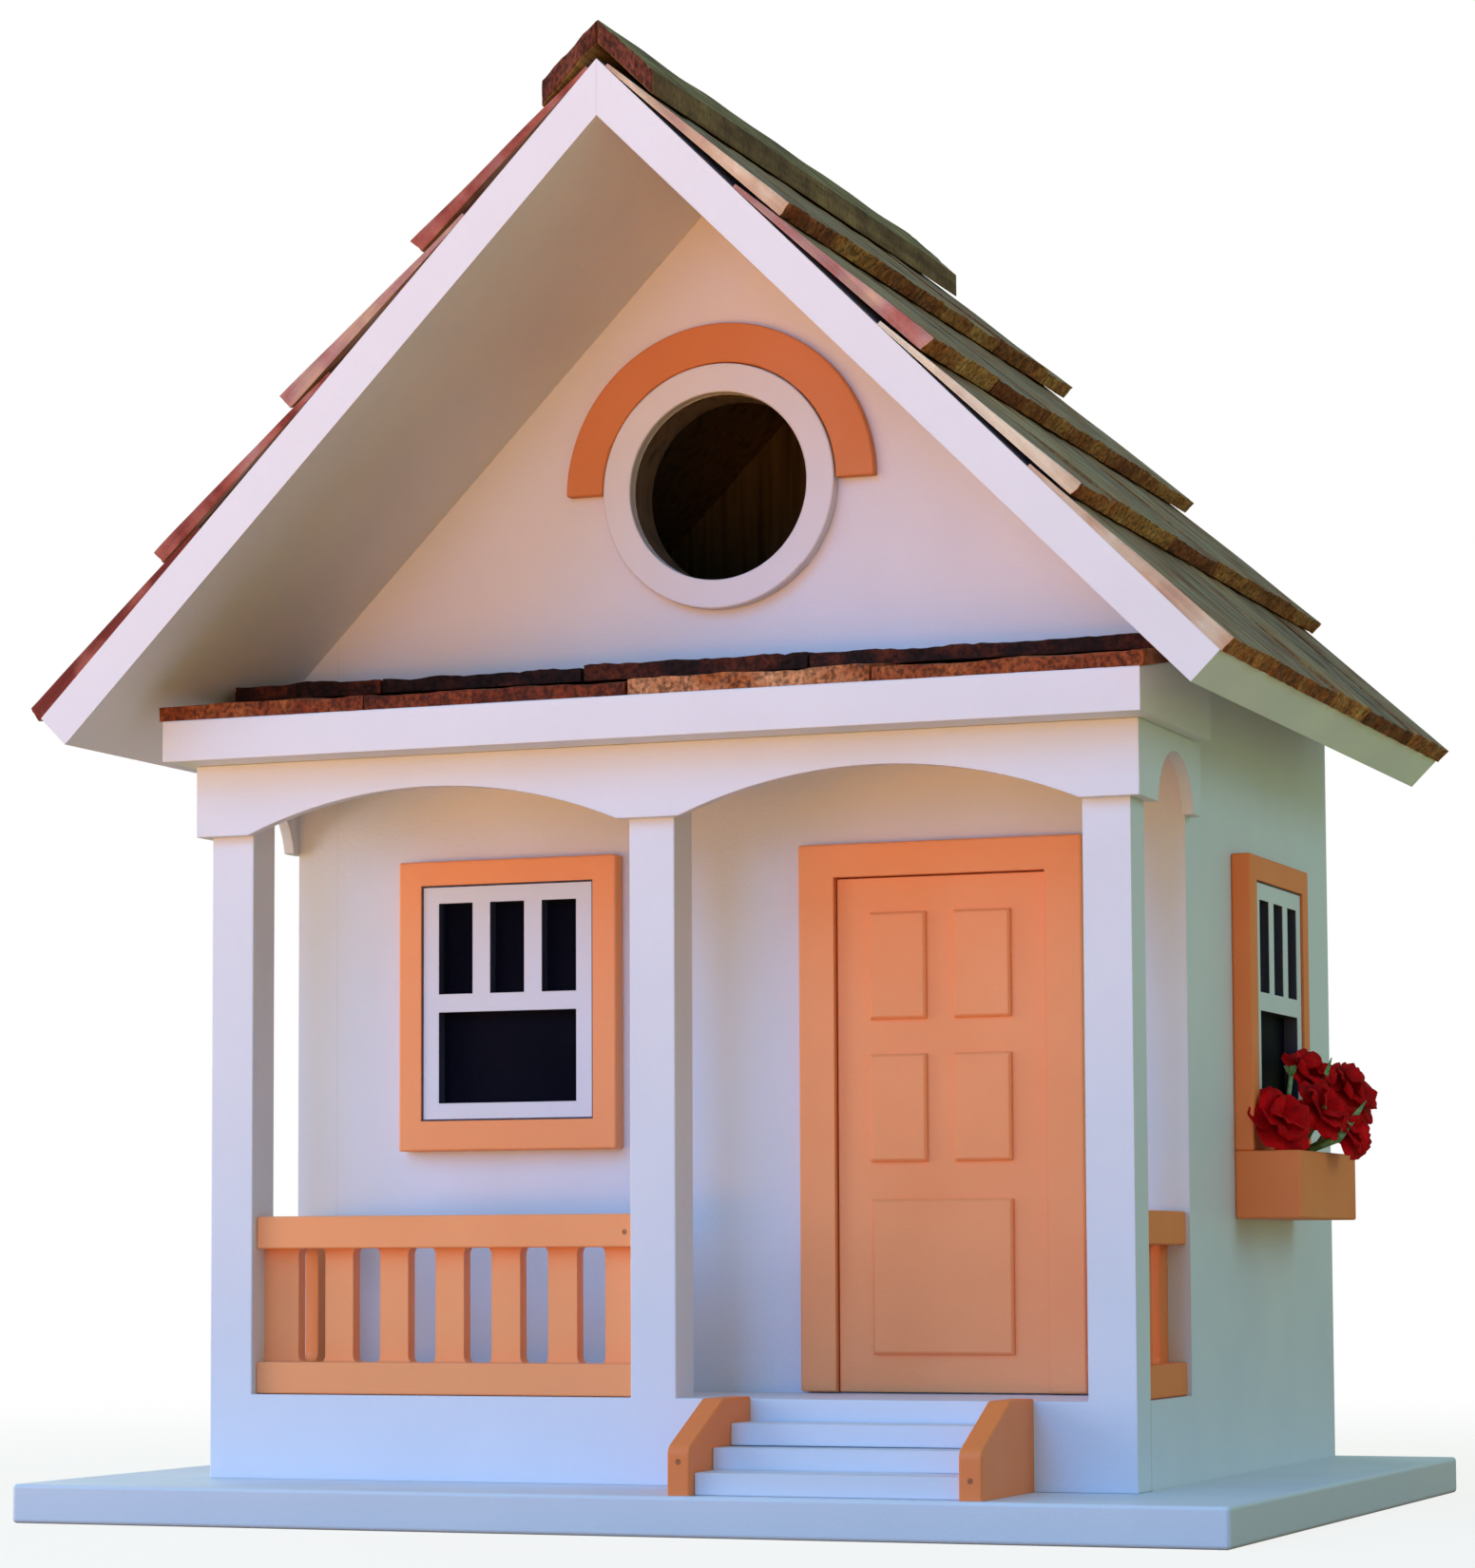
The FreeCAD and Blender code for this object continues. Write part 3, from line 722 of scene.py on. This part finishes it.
# Dark blue enamel, brushed on thin: nearly black, flat, and with hardly any gloss.
dark_blue_paint = house_paint("dark_blue_enamel", "#05081a", "#040614", "#10162a", 0.6, shine=0.05)

# The blue runs over the sides of the lights, and into the joint round the sash as painted shade in that gap.
# White is left on the sash's face, as a skin, and on the stiles and rails round its lights.
face_skin = 0.12 * mm
stile = 3.55 * mm
joint = 0.3 * mm
dark_rooms = []
# Facing is the axis along which a sash looks out, 0 for X and 1 for Y.
for place, facing in (("front", 1), ("left", 0), ("right", 0)):
    low, high = (list(corner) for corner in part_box(place + "_window_sash"))
    # Thin strips round the sash's edges, painted dark as shade in the joint.
    for side, rail in ((1 - facing, joint), (2, joint)):
        for end in (low, high):
            strip = [list(low), list(high)]
            inward = rail if end is low else -rail
            strip[0][side], strip[1][side] = sorted((end[side] - inward, end[side] + inward))
            strip[0][facing] -= joint
            strip[1][facing] += joint
            dark_rooms.append(strip)
    lights = [list(low), list(high)]
    for side in (1 - facing, 2):
        lights[0][side] += stile
        lights[1][side] -= stile
    if place == "right":
        lights[1][facing] -= face_skin
    else:
        lights[0][facing] += face_skin
    dark_rooms.append(lights)
sash_paint = house_paint(
    "white_acrylic_paint_blue_reveals",
    *cool_white,
    satin,
    rooms=dark_rooms,
    inner=("#1c2138", "#3c4464", "#262c46"),
)

# The front casing takes the plain apricot, the side casings the deeper copy, which is painted shade.
for place in ("front", "left", "right"):
    casing_paint = apricot_paint if place == "front" else shaded_apricot_paint
    finish_piece(nodes[place + "_window_casing"], casing_paint)
    finish_piece(nodes[place + "_window_sash"], sash_paint)
    finish_piece(nodes[place + "_window_pane"], dark_blue_paint)


# ---- Window boxes and flowers -----------------------------------------------------------------
# A solid apricot block under each side window, drilled for five wired silk blossoms. The petals are
# dark red cloth, heat-crimped at the rim; stems, sepals and narrow leaves are green.

# Both boxes take the deeper apricot, which is painted shade.
for side in ("left", "right"):
    finish_piece(nodes[side + "_window_box"], shaded_apricot_paint)

# Dyed silk cloth, crimped: a deep matt red, mottled over 3.5 mm, with a weave drawn coarser than it
# is, at 0.5 mm, so that it shows.
petal_silk, tree, output = new_finish("dark_red_silk")
place = add(tree, "ShaderNodeTexCoord")
weave = add(
    tree, "ShaderNodeTexNoise", {"Scale": 1 / (0.5 * mm), "Detail": 3.0}, {"Vector": (place, "Object")}
)
shade = add(
    tree, "ShaderNodeTexNoise", {"Scale": 1 / (3.5 * mm), "Detail": 2.0}, {"Vector": (place, "Object")}
)
red = add(
    tree,
    "ShaderNodeValToRGB",
    {"stops": ((0.3, "#94020a"), (0.55, "#c4040f"), (0.75, "#dc101a"))},
    {"Fac": (shade, "Fac")},
)
crimp = add(tree, "ShaderNodeBump", {"Strength": 0.5, "Distance": 0.12 * mm}, {"Height": (weave, "Fac")})
silk = add(
    tree,
    "ShaderNodeBsdfPrincipled",
    {"Roughness": 0.8, "Specular IOR Level": 0.1},
    {"Base Color": (red, "Color"), "Normal": (crimp, "Normal")},
)
tree.links.new(silk.outputs["BSDF"], output.inputs["Surface"])

# Waxed paper tape on florist's wire, and starched leaves: mid green, veined paler every 1.2 mm.
leaf_green, tree, output = new_finish("green_florist_wire_and_leaf")
place = add(tree, "ShaderNodeTexCoord")
veins = add(
    tree, "ShaderNodeTexNoise", {"Scale": 1 / (1.2 * mm), "Detail": 3.0}, {"Vector": (place, "Object")}
)
green = add(
    tree,
    "ShaderNodeValToRGB",
    {"stops": ((0.3, "#3d6a3c"), (0.6, "#78a068"), (0.8, "#a3c08e"))},
    {"Fac": (veins, "Fac")},
)
ribs = add(tree, "ShaderNodeBump", {"Strength": 0.4, "Distance": 0.1 * mm}, {"Height": (veins, "Fac")})
leaf = add(
    tree,
    "ShaderNodeBsdfPrincipled",
    {"Roughness": 0.5},
    {"Base Color": (green, "Color"), "Normal": (ribs, "Normal")},
)
tree.links.new(leaf.outputs["BSDF"], output.inputs["Surface"])


def blade(shape, spine, half_widths, lean, ruffle=0.0, waves=3.0, phase=0.0, cup=0.0):
    """A cloth petal or leaf: a strip along a spine, cupped across and ruffled at the rim."""
    cells = 6
    rows_made = []
    for number, (point, half) in enumerate(zip(spine, half_widths)):
        t = number / (len(spine) - 1)
        ahead = spine[min(number + 1, len(spine) - 1)] - spine[max(number - 1, 0)]
        face_way = ahead.cross(lean).normalized()
        row = []
        for c in range(cells + 1):
            a = c / cells * 2 - 1
            lift = ruffle * t * t * math.sin(waves * math.pi * a + phase) - cup * a * a
            row.append(shape.verts.new(point + lean * (half * a) + face_way * lift))
        rows_made.append(row)
    for low, high in zip(rows_made, rows_made[1:]):
        for c in range(cells):
            shape.faces.new((low[c], low[c + 1], high[c + 1], high[c])).smooth = True


def petal(shape, centre, axis, turn, radius, opening, length, rng):
    """One petal from the blossom's heart, at a turn about its axis and opened by an angle."""
    steps, seat, width = 7, 0.35, 0.86
    ruffle, cup = radius * 0.13, radius * 0.16
    outward = axis.orthogonal().normalized()
    outward.rotate(Matrix.Rotation(turn, 3, axis))
    lean = axis.cross(outward).normalized()
    spine, halves = [], []
    for step in range(steps + 1):
        t = step / steps
        curl = 0.28 * t**3
        reach = radius * length * (math.sin(opening) * t + curl)
        rise = radius * length * (math.cos(opening) * t - seat - 0.6 * curl)
        spine.append(centre + outward * reach + axis * rise)
        # It widens from the foot, and rounds off over the last two fifths.
        rim = math.sqrt(1 - (max(0.0, t - 0.6) / 0.42) ** 2)
        halves.append(radius * width * (0.12 + t) ** 0.6 * rim)
    waves, phase = rng.uniform(1.2, 2.2), rng.uniform(*any_turn)
    blade(shape, spine, halves, lean, ruffle, waves, phase, cup)


def tube(shape, points, radius):
    """A round wire along the points."""
    sides = 8
    loops = []
    for number, point in enumerate(points):
        ahead = (points[min(number + 1, len(points) - 1)] - points[max(number - 1, 0)]).normalized()
        across = ahead.orthogonal().normalized()
        other = ahead.cross(across)
        loops.append(
            [
                shape.verts.new(point + (across * math.cos(a) + other * math.sin(a)) * radius)
                for a in (math.tau * s / sides for s in range(sides))
            ]
        )
    for low, high in zip(loops, loops[1:]):
        for s in range(sides):
            shape.faces.new((low[s], low[(s + 1) % sides], high[(s + 1) % sides], high[s])).smooth = True
    shape.faces.new(loops[0])
    shape.faces.new(loops[-1])


def cloth(piece, thickness):
    """Gives a sheet its thickness and softens its creases."""
    shell = piece.modifiers.new("cloth_thickness", "SOLIDIFY")
    shell.thickness = thickness
    shell.offset = 0.0
    soft = piece.modifiers.new("soft_crimp", "SUBSURF")
    soft.levels = soft.render_levels = 1


any_turn = (0, 6.28)
# Petals in a ring, how far it opens in radians, and their length over the blossom's radius.
petal_rings = ((5, 1.4, 1.1), (4, 0.95, 1.0), (3, 0.45, 0.85))
# Half widths along a sepal, a bud's sepal and a long leaf, in mm.
sepal_halves, bud_halves = (0.5, 0.9, 0.6, 0.06), (0.5, 0.8, 0.5, 0.05)
leaf_halves = (0.45, 0.6, 0.75, 0.8, 0.6, 0.05)
# In mm: how far back each long leaf's foot stands, where it bends, and its tip; each bud's middle.
leaf_paths = ((36, (106, 33, 81), (107, 43, 91)), (30, (111, 31, 74), (115, 39, 82)))
bud_places = ((104.5, 19, 86.5), (108, 30, 79))
bud_length = 2.6 * mm
sepals = 5
wire_radius, bud_wire_radius = 0.5 * mm, 0.45 * mm
silk_thickness = 0.22 * mm
# Stems and leaves start this deep inside the box.
rooted = 1.0 * mm

for side, sign in (("right", 1), ("left", -1)):
    rng = random.Random(12)
    low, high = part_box(side + "_window_box")
    box_top = high.z
    middle_x = (low.x + high.x) / 2
    heads = []
    for points in sorted(solids_of(side + "_blossoms"), key=lambda s: sum(p.y for p in s) / len(s)):
        centre = sum(points, Vector()) / len(points)
        # The foremost blossom is blown open a little wider than the rest.
        spread = 1.06 if heads else 1.15
        heads.append((centre, spread * max((p - centre).length for p in points)))
    petals, greens = bmesh.new(), bmesh.new()
    for centre, radius in heads:
        # Stems gather a little towards the middle of the box, and blossoms face out and forwards.
        foot = Vector((middle_x, centre.y + (low.y + high.y - 2 * centre.y) * 0.12, box_top))
        axis = (centre - foot).normalized() * 0.6 + Vector((sign * 0.75, -0.35, 0.25))
        axis.normalize()
        for count, opening, length in petal_rings:
            start = rng.uniform(*any_turn)
            for number in range(count):
                turn = start + math.tau * number / count + rng.uniform(-0.2, 0.2)
                petal(petals, centre, axis, turn, radius, opening + rng.uniform(-0.12, 0.12), length, rng)
        neck = centre - axis * radius * 0.42
        wire = [foot - Vector((0, 0, rooted))]
        for step in range(1, 7):
            t = step / 6
            bow = Vector((sign * 1.2 * mm, 0, 1.0 * mm)) * math.sin(math.pi * t)
            wire.append(foot.lerp(neck, t) + bow)
        tube(greens, wire, wire_radius)
        for number in range(sepals):
            out = axis.orthogonal().normalized()
            out.rotate(Matrix.Rotation(math.tau * number / sepals + 0.4, 3, axis))
            spine = [
                neck + out * radius * 0.6 * t + axis * radius * (0.25 * t - 0.1) for t in (0, 0.35, 0.7, 1.0)
            ]
            blade(greens, spine, [half * mm for half in sepal_halves], axis.cross(out).normalized())
    # Two long pale leaves rise from the box and cross the bunch, and two buds stand among it.
    for base, bend, tip in leaf_paths:
        bend, tip = (Vector((sign * p[0], p[1], p[2])) * mm for p in (bend, tip))
        base = Vector((middle_x, base * mm, box_top - rooted))
        lean = (tip - bend).cross(Vector((sign * 0.75, -0.65, 0))).normalized()
        spine = [base, base.lerp(bend, 0.6), bend, bend.lerp(tip, 0.35), bend.lerp(tip, 0.7), tip]
        blade(greens, spine, [half * mm for half in leaf_halves], lean, cup=0.3 * mm)
    for place in bud_places:
        centre = Vector((sign * place[0], place[1], place[2])) * mm
        foot = Vector((middle_x, centre.y + 3 * mm, box_top - rooted))
        tube(greens, [foot.lerp(centre, t) for t in (0, 0.35, 0.7, 1.0)], bud_wire_radius)
        for number in range(sepals):
            turn = math.tau * number / sepals + 0.5
            out = Vector((math.cos(turn) * 0.6, math.sin(turn) * 0.6, 0.8)).normalized()
            lean = out.cross(Vector((0, 0, 1))).normalized()
            spine = [centre + out * bud_length * t for t in (0, 0.4, 0.75, 1.0)]
            blade(greens, spine, [half * mm for half in bud_halves], lean)
    blossoms = new_piece(side + "_silk_blossoms", petals, stands_for=[side + "_blossoms"])
    finish_piece(blossoms, petal_silk)
    cloth(blossoms, silk_thickness)
    stems = new_piece(
        side + "_stems_and_leaves", greens, stands_for=[side + "_flower_stems"]
    )
    finish_piece(stems, leaf_green)


# ---- Door -------------------------------------------------------------------------------------
# A U-shaped casing, a thin slab and five raised panels with chamfered edges, sawn from board,
# glued to the wall one on another and painted together.

finish_piece(nodes["door_casing"], apricot_paint)
finish_piece(nodes["door_slab"], apricot_paint, 0.2 * mm)
finish_piece(nodes["door_panels"], apricot_paint, 0.15 * mm)


# ---- Railings ---------------------------------------------------------------------------------
# Each railing is a thin board with round-ended slots sawn in it, so that balusters are left, and a
# top and a bottom rail planted on its face with brads.

finish_piece(nodes["front_baluster_board"], apricot_paint, 0.2 * mm)
for rail in ("front_bottom_rail", "front_top_rail"):
    finish_piece(nodes[rail], apricot_paint, 0.3 * mm)
# The right railing takes the deeper apricot, which is painted shade; the left one the plain apricot.
for side, paint in (("left", apricot_paint), ("right", shaded_apricot_paint)):
    finish_piece(nodes[side + "_side_baluster_board"], paint, 0.2 * mm)
    finish_piece(nodes[side + "_side_rails"], paint, 0.3 * mm)


# ---- Steps ------------------------------------------------------------------------------------
# Three white treads, each a board shorter than the one below, stacked and glued. The two apricot
# stringers are sawn with sloping tops and nailed on at their sides.

finish_piece(nodes["stair_treads"], white_paint, 0.3 * mm)
# The stringers take the deeper apricot, which is painted shade.
for side in ("left", "right"):
    finish_piece(nodes[side + "_stringer"], shaded_apricot_paint, 0.3 * mm)


# ---- Clean-out cover --------------------------------------------------------------------------
# A small pine board on the back wall, rolled white like the wall. It turns on one screw above the
# clean-out opening and hooks over a second one at its side.

finish_piece(nodes["cleanout_cover"], white_paint)


# ---- Fasteners --------------------------------------------------------------------------------
# Zinc-plated steel screws in the base and the clean-out cover, zinc-plated nails in the roof, and
# fine plain steel brads in the rails and stringers, set flush and painted over.

# Zinc plating, barrel-tumbled: a dull grey metal with a faint spangle about 0.8 mm across.
zinc_steel, tree, output = new_finish("zinc_plated_steel")
place = add(tree, "ShaderNodeTexCoord")
spangle = add(tree, "ShaderNodeTexVoronoi", {"Scale": 1 / (0.8 * mm)}, {"Vector": (place, "Object")})
dull = add(tree, "ShaderNodeMapRange", {"To Min": 0.32, "To Max": 0.55}, {"Value": (spangle, "Distance")})
plating = add(
    tree,
    "ShaderNodeValToRGB",
    {"stops": ((0.2, "#9b9a94"), (0.8, "#7f7e7a"))},
    {"Fac": (spangle, "Distance")},
)
metal = add(
    tree,
    "ShaderNodeBsdfPrincipled",
    {"Metallic": 1.0},
    {"Base Color": (plating, "Color"), "Roughness": (dull, "Result")},
)
tree.links.new(metal.outputs["BSDF"], output.inputs["Surface"])
for fastener in ("base_screws", "roof_nails", "cleanout_screws"):
    finish_piece(nodes[fastener], zinc_steel)

# Plain steel that bled a little rust through the paint: a small flat brown dot.
rusted_head, tree, output = new_finish("rusted_brad_head")
place = add(tree, "ShaderNodeTexCoord")
scale = add(
    tree, "ShaderNodeTexNoise", {"Scale": 1 / (0.4 * mm), "Detail": 3.0}, {"Vector": (place, "Object")}
)
rust = add(
    tree, "ShaderNodeValToRGB", {"stops": ((0.35, "#925534"), (0.7, "#bd774c"))}, {"Fac": (scale, "Fac")}
)
head = add(tree, "ShaderNodeBsdfPrincipled", {"Roughness": 0.8}, {"Base Color": (rust, "Color")})
tree.links.new(head.outputs["BSDF"], output.inputs["Surface"])
finish_piece(nodes["trim_brads"], rusted_head)


# ---- Studio -----------------------------------------------------------------------------------
# A plain pale floor that fades into the white behind it, and large soft lights: cool ones from the
# front and both sides, and a warm bounce from low in front. One small warm lamp lights the porch
# from the left, as light off the floor does, and a dim green glow comes from all round.

floor_half = 12.0
floor_mesh = bpy.data.meshes.new("studio_floor")
floor_shape = bmesh.new()
bmesh.ops.create_grid(floor_shape, x_segments=2, y_segments=2, size=floor_half)
floor_shape.to_mesh(floor_mesh)
floor_shape.free()
floor = bpy.data.objects.new("studio_floor", floor_mesh)
bpy.context.scene.collection.objects.link(floor)
floor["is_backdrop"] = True
# Seamless background paper: matt and nearly white. Light that bounces off it turns warm.
floor_paper, tree, output = new_finish("pale_studio_paper")
place = add(tree, "ShaderNodeTexCoord")
radius = add(tree, "ShaderNodeVectorMath", {"operation": "LENGTH"}, {0: (place, "Object")})
fade = add(
    tree,
    "ShaderNodeMapRange",
    {"interpolation_type": "SMOOTHSTEP", "From Min": 0.16, "From Max": 0.75},
    {"Value": (radius, "Value")},
)
fibre = add(tree, "ShaderNodeTexNoise", {"Scale": 1 / (3 * mm)}, {"Vector": (place, "Object")})
paper_tone = add(
    tree,
    "ShaderNodeMix",
    {"data_type": "RGBA", 6: linear("#f3f3f1"), 7: linear("#f7f6f4")},
    {0: (fibre, "Fac")},
)
rays = add(tree, "ShaderNodeLightPath")
warmth = add(
    tree,
    "ShaderNodeMix",
    {"data_type": "RGBA", 6: linear("#b58a5c")},
    {0: (rays, "Is Camera Ray"), 7: (paper_tone, 2)},
)
paper = add(
    tree,
    "ShaderNodeBsdfPrincipled",
    {"Roughness": 0.8, "Specular IOR Level": 0.1},
    {"Base Color": (warmth, 2)},
)
# Seen directly, it is mostly lit from behind, so only a faint shadow lies on it.
backlight = 0.84
lifted = add(tree, "ShaderNodeMath", {"operation": "MULTIPLY", 1: backlight}, {0: (rays, "Is Camera Ray")})
bright = add(tree, "ShaderNodeEmission", {"Color": linear("#fdfdfb"), "Strength": 1.0})
backlit = add(tree, "ShaderNodeMixShader", None, {0: (lifted, 0), 1: (paper, "BSDF"), 2: (bright, 0)})
clear = add(tree, "ShaderNodeBsdfTransparent")
faded = add(tree, "ShaderNodeMixShader", None, {0: (fade, "Result"), 1: (backlit, 0), 2: (clear, "BSDF")})
tree.links.new(faded.outputs[0], output.inputs["Surface"])
floor_mesh.materials.append(floor_paper)

world = bpy.data.worlds.new("studio")
world.use_nodes = True
tree = world.node_tree
tree.nodes.clear()
rays = add(tree, "ShaderNodeLightPath")
direction = add(tree, "ShaderNodeTexCoord")
height = add(tree, "ShaderNodeSeparateXYZ", None, {0: (direction, "Generated")})
above = add(tree, "ShaderNodeMapRange", {"From Min": -0.08, "From Max": 0.1}, {"Value": (height, "Z")})
ground_glow, sky_glow = (0.46, 0.57, 0.22, 1), (0.3, 0.42, 0.36, 1)
hemispheres = add(
    tree, "ShaderNodeMix", {"data_type": "RGBA", 6: ground_glow, 7: sky_glow}, {0: (above, "Result")}
)
glow = add(tree, "ShaderNodeBackground", {"Strength": 1.0}, {"Color": (hemispheres, 2)})
white = add(tree, "ShaderNodeBackground", {"Color": linear("#ffffff"), "Strength": 1.0})
shown = add(tree, "ShaderNodeMixShader", None, {0: (rays, "Is Camera Ray"), 1: (glow, 0), 2: (white, 0)})
add(tree, "ShaderNodeOutputWorld", None, {"Surface": (shown, 0)})
bpy.context.scene.world = world
bpy.context.scene.view_settings.view_transform = "Standard"


def soft_light(name, place, aim, size, colour, power):
    """A round soft light at a place, turned towards a point, its size in metres and power in watts."""
    lamp = bpy.data.lights.new(name, "AREA")
    lamp.shape = "DISK"
    lamp.size = size
    lamp.color = colour
    lamp.energy = power
    holder = bpy.data.objects.new(name, lamp)
    holder.location = place
    holder.rotation_euler = (Vector(aim) - Vector(place)).to_track_quat("-Z", "Y").to_euler()
    holder.visible_camera = False
    bpy.context.scene.collection.objects.link(holder)


# The middle of the house.
middle = (0.0, 0.0, 0.14)
large_lamp, small_lamp = 12, 0.7
soft_light("front_sky", (-0.5, -2.0, 1.6), middle, 1.6, (0.02, 0.66, 1.85), large_lamp)
soft_light("front_level", (0.0, -2.4, 0.45), middle, 0.8, (0.16, 0.37, 0.85), large_lamp)
soft_light("low_warm_bounce", (-0.1, -0.95, 0.01), (-0.1, -0.93, 0.5), 1.1, (1.32, 0.4, 0.04), large_lamp)
soft_light("right_sky", (2.2, 0.2, 1.1), middle, 1.3, (0.31, 0.52, 0.66), large_lamp)
soft_light("front_left", (-1.9, -1.2, 0.7), middle, 1.2, (0.84, 0.98, 1.32), large_lamp)
soft_light("porch_glow", (-0.55, -0.22, 0.05), (0.0, -0.03, 0.07), 0.16, (1.1, 0.85, 0.6), small_lamp)
soft_light("left_back_fill", (-1.7, 1.5, 0.9), middle, 1.5, (0.8, 0.85, 0.9), large_lamp)


# ---- Camera -----------------------------------------------------------------------------------
# A long lens, a little to the right of the house and near the ground, tipped up slightly. Its
# shift only sets the house in the middle of the frame.

lens = bpy.data.cameras.new("camera")
lens.sensor_width = 36.0
lens.lens = 96.62
lens.shift_x = 0.0207
lens.shift_y = 0.1029
lens.clip_start = 0.05
camera = bpy.data.objects.new("camera", lens)
stand = (0.3073, -0.8058, 0.0504)
yaw, pitch, roll = (math.radians(angle) for angle in (21.736, 4.259, -0.223))
camera.matrix_world = (
    Matrix.Translation(stand)
    @ Matrix.Rotation(yaw, 4, "Z")
    @ Matrix.Rotation(math.pi / 2 + pitch, 4, "X")
    @ Matrix.Rotation(roll, 4, "Z")
)
bpy.context.scene.collection.objects.link(camera)
bpy.context.scene.camera = camera

low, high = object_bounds()
